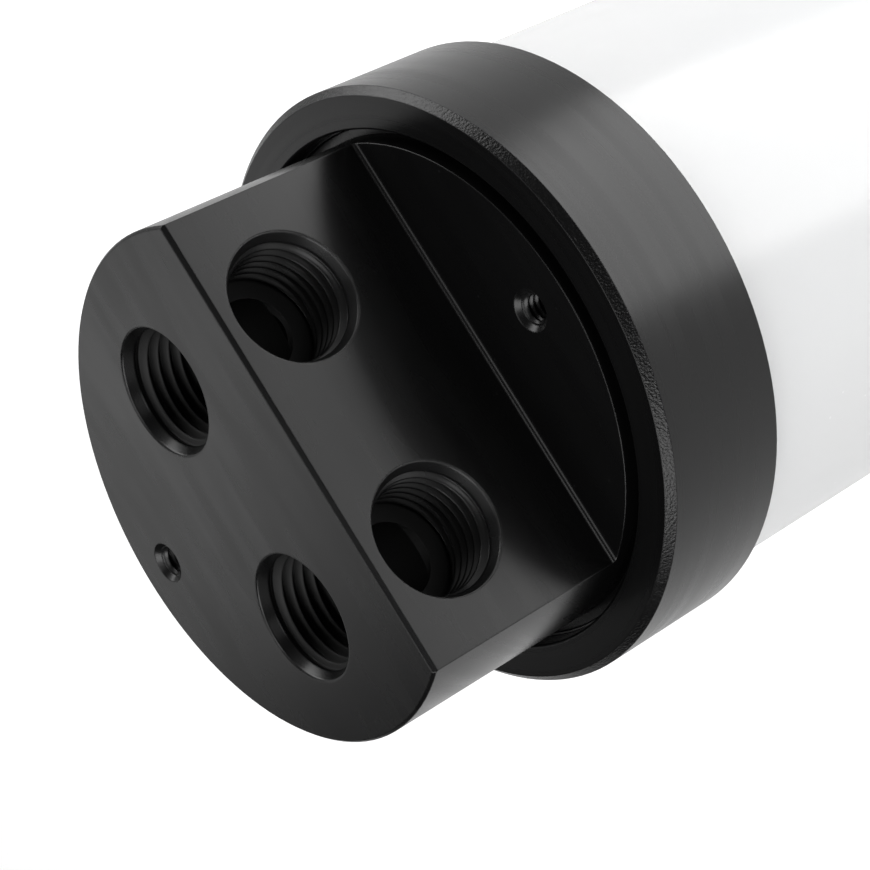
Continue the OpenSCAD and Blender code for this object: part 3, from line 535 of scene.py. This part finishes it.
def addThread(name, mount, setup, slot, material=None):
    outer = mount["dims"]["r_mm"] * mm - setup["gap"]
    length = mount["dims"]["length_mm"] * mm
    pitch, seat, segments = setup["pitch"], setup["seatHeight"], setup["segments"]
    root = outer - setup["wall"]
    rows = max(setup["fewestRows"], round(length / pitch * setup["perPitch"]))
    seatRows = setup["seatRows"] if seat else 0
    turn = Vector(mount["axis"]).to_track_quat("Z", "Y").to_matrix().to_4x4()
    toPlace = Matrix.Translation(Vector(mount["pos_m"])) @ turn
    vertices, faces = [], []
    for row in range(seatRows):  # the lead-in cone between the mouth and the first turn
        part = row / seatRows
        r = root + setup["seatStep"] * (1 - part) - setup["seatDepth"] * part
        vertices += [ringPoint(toPlace, r, seat * (1 - part), step, segments) for step in range(segments)]
    for row in range(rows + 1):
        depth = length * row / rows
        lead = min(1.0, depth / (setup["lead"] * pitch), (length - depth) / (setup["runOut"] * pitch))
        cut = setup["depth"] * max(0.0, lead)
        cone = setup["seatDepth"] * max(0.0, 1 - depth / (setup["coneEnd"] * pitch)) if seat else 0.0
        for step in range(segments):
            ridge = ridgeHeight(-depth / pitch - step / segments, setup["rounding"])
            vertices.append(ringPoint(toPlace, root - max(cone, cut * ridge), -depth, step, segments))
    shellStart = len(vertices)
    shell = [(outer, 0.0), (outer, -length)]
    if seat:
        mouth = outer + setup["seatStep"]
        shell = [(mouth, seat), (mouth, setup["seatGap"])] + shell
    for r, height in shell:
        vertices += [ringPoint(toPlace, r, height, step, segments) for step in range(segments)]
    rows += seatRows
    last = rows * segments
    shellEnd = shellStart + (len(shell) - 1) * segments
    for row in range(rows):
        for step in range(segments):
            a, b = row * segments + step, row * segments + (step + 1) % segments
            faces.append((a, b, b + segments, a + segments))
    for step in range(segments):
        following = (step + 1) % segments
        faces.append((shellStart + step, shellStart + following, following, step))
        faces.append((last + step, last + following, shellEnd + following, shellEnd + step))
        for ring in range(shellStart, shellEnd, segments):
            faces.append((ring + segments + step, ring + segments + following, ring + following, ring + step))
    return addPiece(name, vertices, faces, material or slotMaterials[slot])


for label in ("top_port_right", "top_port_left", "flat_port_right", "flat_port_left", "outlet_port"):
    # only the flat ports' liners take the paler colour, as painted highlight; the other liners keep the head's plastic
    addThread(label + "_thread", mounts[label], threadSetup, "head_plastic",
              paintedHighlightThread if "flat" in label else None)
for label in ("top_tapped_hole", "ledge_tapped_hole"):
    addThread(label + "_thread", mounts[label], fineThread, "head_plastic")
bracketHoles = mounts["bracket_holes"]
for side, label in ((-1, "left"), (1, "right")):
    across = side * bracketHoles["dims"]["spacing_x_mm"] / 2 * mm
    hole = {"pos_m": (across, 0, bracketHoles["pos_m"][2] + bracketThread["above"]), "axis": bracketHoles["axis"],
            "dims": {"r_mm": bracketHoles["dims"]["hole_r_mm"], "length_mm": bracketThread["length_mm"]}}
    addThread("bracket_hole_" + label + "_thread", hole, fineThread, "clamp_metal")
print("threads cut")


glandSetup = {
    "ribs": 3, "first": 2.6 * mm, "pitch": 1.7 * mm, "width": 0.9 * mm, "proud": 0.32 * mm, "bite": 0.2 * mm,
    "noseRadius": 3.5 * mm, "taper": 0.023, "segments": 72,
    "crownStart": 0.2, "crownEnd": 0.8, "shoulder": 0.6,  # shares of a rib's width and height
}


def addGlandRibs(setup):  # bend-relief ribs round the gland's nose
    low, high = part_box("cable_gland")
    middle = (low.z + high.z) / 2
    segments, proud = setup["segments"], setup["proud"]
    profile = [(0, -setup["bite"]), (0, proud * setup["shoulder"]), (setup["crownStart"], proud),
               (setup["crownEnd"], proud), (1, proud * setup["shoulder"]), (1, -setup["bite"])]
    count = len(profile)
    vertices, faces = [], []
    for rib in range(setup["ribs"]):
        start = len(vertices)
        y = high.y - setup["first"] - rib * setup["pitch"]
        base = setup["noseRadius"] + (high.y - y) * setup["taper"]
        for step in range(segments):
            angle = 2 * math.pi * step / segments
            for part, lift in profile:
                r = base + lift
                vertices.append((r * math.cos(angle), y + part * setup["width"], middle + r * math.sin(angle)))
        for step in range(segments):
            here, following = start + step * count, start + (step + 1) % segments * count
            for corner in range(count):
                after = (corner + 1) % count
                faces.append((here + corner, here + after, following + after, following + corner))
    return addPiece("gland_ribs", vertices, faces, slotMaterials["seal_rubber"])


addGlandRibs(glandSetup)
print("gland ribbed")


floorSetup = {
    "size": 6.0, "colour": (0.8, 0.8, 0.8, 1), "shade": (0.76, 0.76, 0.76, 1),
    "mottleScale": 40.0, "mottleDetail": 3.0, "mottleLow": 0.97,
    "glow": 0.62, "mirroredGlow": 0.28,  # as seen directly, and in gloss
}

skySetup = {
    "glow": 0.95, "mirroredGlow": 0.03, "light": 0.36,
    "front": (0.0, -0.71, 0.70), "frontStart": 0.45, "frontFull": 0.85, "frontDark": 0.06,
    "back": (-0.56, 0.64, 0.52), "backStart": 0.66, "backFull": 0.88, "backDark": 0.04,  # behind the tube
}

panelAim = Vector((0, 0, 0.23))
panels = {  # degrees round from -Y and up, metres
    "side panel": {"azimuth": 95, "elevation": 20, "distance": 0.8, "size": (0.6, 0.45), "radiance": 3.8},
    "low panel": {"azimuth": 20, "elevation": -41, "distance": 0.34, "size": (0.32, 0.26), "radiance": 3.2,
                  "onFloor": True},
    "back panel": {"azimuth": 168, "elevation": 31, "distance": 1.1, "size": (0.32, 0.23), "radiance": 1.15},
    "left panel": {"azimuth": -78, "elevation": 46, "distance": 0.9, "size": (0.6, 0.5), "radiance": 3.6},
    "top panel": {"azimuth": -80, "elevation": 80, "distance": 0.8, "size": (0.7, 0.7), "radiance": 1.8},
    "front panel": {"azimuth": -10, "elevation": 8, "distance": 0.9, "size": (0.5, 0.3), "radiance": 2.4},
}


def backdropGlow(tree, glow, mirroredGlow):  # brightness for the camera, and for gloss and glass
    path = newNode(tree, "ShaderNodeLightPath")
    mirrored = larger(tree, path.outputs["Is Glossy Ray"], path.outputs["Is Transmission Ray"])
    return larger(tree, times(tree, path.outputs["Is Camera Ray"], glow), times(tree, mirrored, mirroredGlow))


def makeFloor():
    half = floorSetup["size"] / 2
    mesh = bpy.data.meshes.new("floor")
    mesh.from_pydata([(-half, -half, 0), (half, -half, 0), (half, half, 0), (-half, half, 0)], [], [(0, 1, 2, 3)])
    floor = bpy.data.objects.new("floor", mesh)
    bpy.context.collection.objects.link(floor)
    material = bpy.data.materials.new("pale floor")
    material.use_nodes = True
    tree = material.node_tree
    tree.nodes.remove(tree.nodes["Principled BSDF"])
    coordinates = newNode(tree, "ShaderNodeTexCoord").outputs["Object"]
    mottle = noise(tree, coordinates, floorSetup["mottleScale"], floorSetup["mottleDetail"])
    mottle = spread(tree, mottle, 0.3, 0.7, floorSetup["mottleLow"], 1.0)
    paper = newNode(tree, "ShaderNodeBsdfDiffuse")
    feed(tree, paper.inputs["Color"], blendColour(tree, mottle, floorSetup["shade"], floorSetup["colour"]))
    glow = newNode(tree, "ShaderNodeEmission")
    join(tree, backdropGlow(tree, floorSetup["glow"], floorSetup["mirroredGlow"]), glow.inputs["Strength"])
    total = newNode(tree, "ShaderNodeAddShader")
    join(tree, paper.outputs[0], total.inputs[0])
    join(tree, glow.outputs[0], total.inputs[1])
    join(tree, total.outputs[0], tree.nodes["Material Output"].inputs["Surface"])
    mesh.materials.append(material)


def makeSky():
    world = bpy.data.worlds.new("studio")
    bpy.context.scene.world = world
    world.use_nodes = True
    tree = world.node_tree
    background = tree.nodes["Background"]
    direction = newNode(tree, "ShaderNodeTexCoord").outputs["Generated"]
    light = spread(tree, dotProduct(tree, direction, skySetup["front"]), skySetup["frontStart"], skySetup["frontFull"],
                   skySetup["light"], skySetup["frontDark"], smooth=True)
    share = spread(tree, dotProduct(tree, direction, skySetup["back"]), skySetup["backStart"], skySetup["backFull"],
                   1.0, skySetup["backDark"], smooth=True)
    seen = backdropGlow(tree, skySetup["glow"], skySetup["mirroredGlow"])
    join(tree, larger(tree, seen, times(tree, light, share)), background.inputs["Strength"])
    background.inputs["Color"].default_value = (1, 1, 1, 1)


def addPanel(name, azimuth, elevation, distance, size, radiance, onFloor=False):
    turn, rise = math.radians(azimuth), math.radians(elevation)
    direction = Vector((math.sin(turn) * math.cos(rise), -math.cos(turn) * math.cos(rise), math.sin(rise)))
    light = bpy.data.lights.new(name, "AREA")
    light.shape = "RECTANGLE"
    light.size, light.size_y = size
    light.energy = radiance * math.pi * size[0] * size[1]
    panel = bpy.data.objects.new(name, light)
    panel.location = panelAim + direction * distance
    back = Vector((0, 0, -1)) if onFloor else direction  # a lamp shines away from its back
    panel.rotation_euler = back.to_track_quat("Z", "Y").to_euler()
    panel.visible_camera = False
    bpy.context.collection.objects.link(panel)


makeFloor()
makeSky()
for name, setup in panels.items():
    addPanel(name, **setup)
print("stage lit")
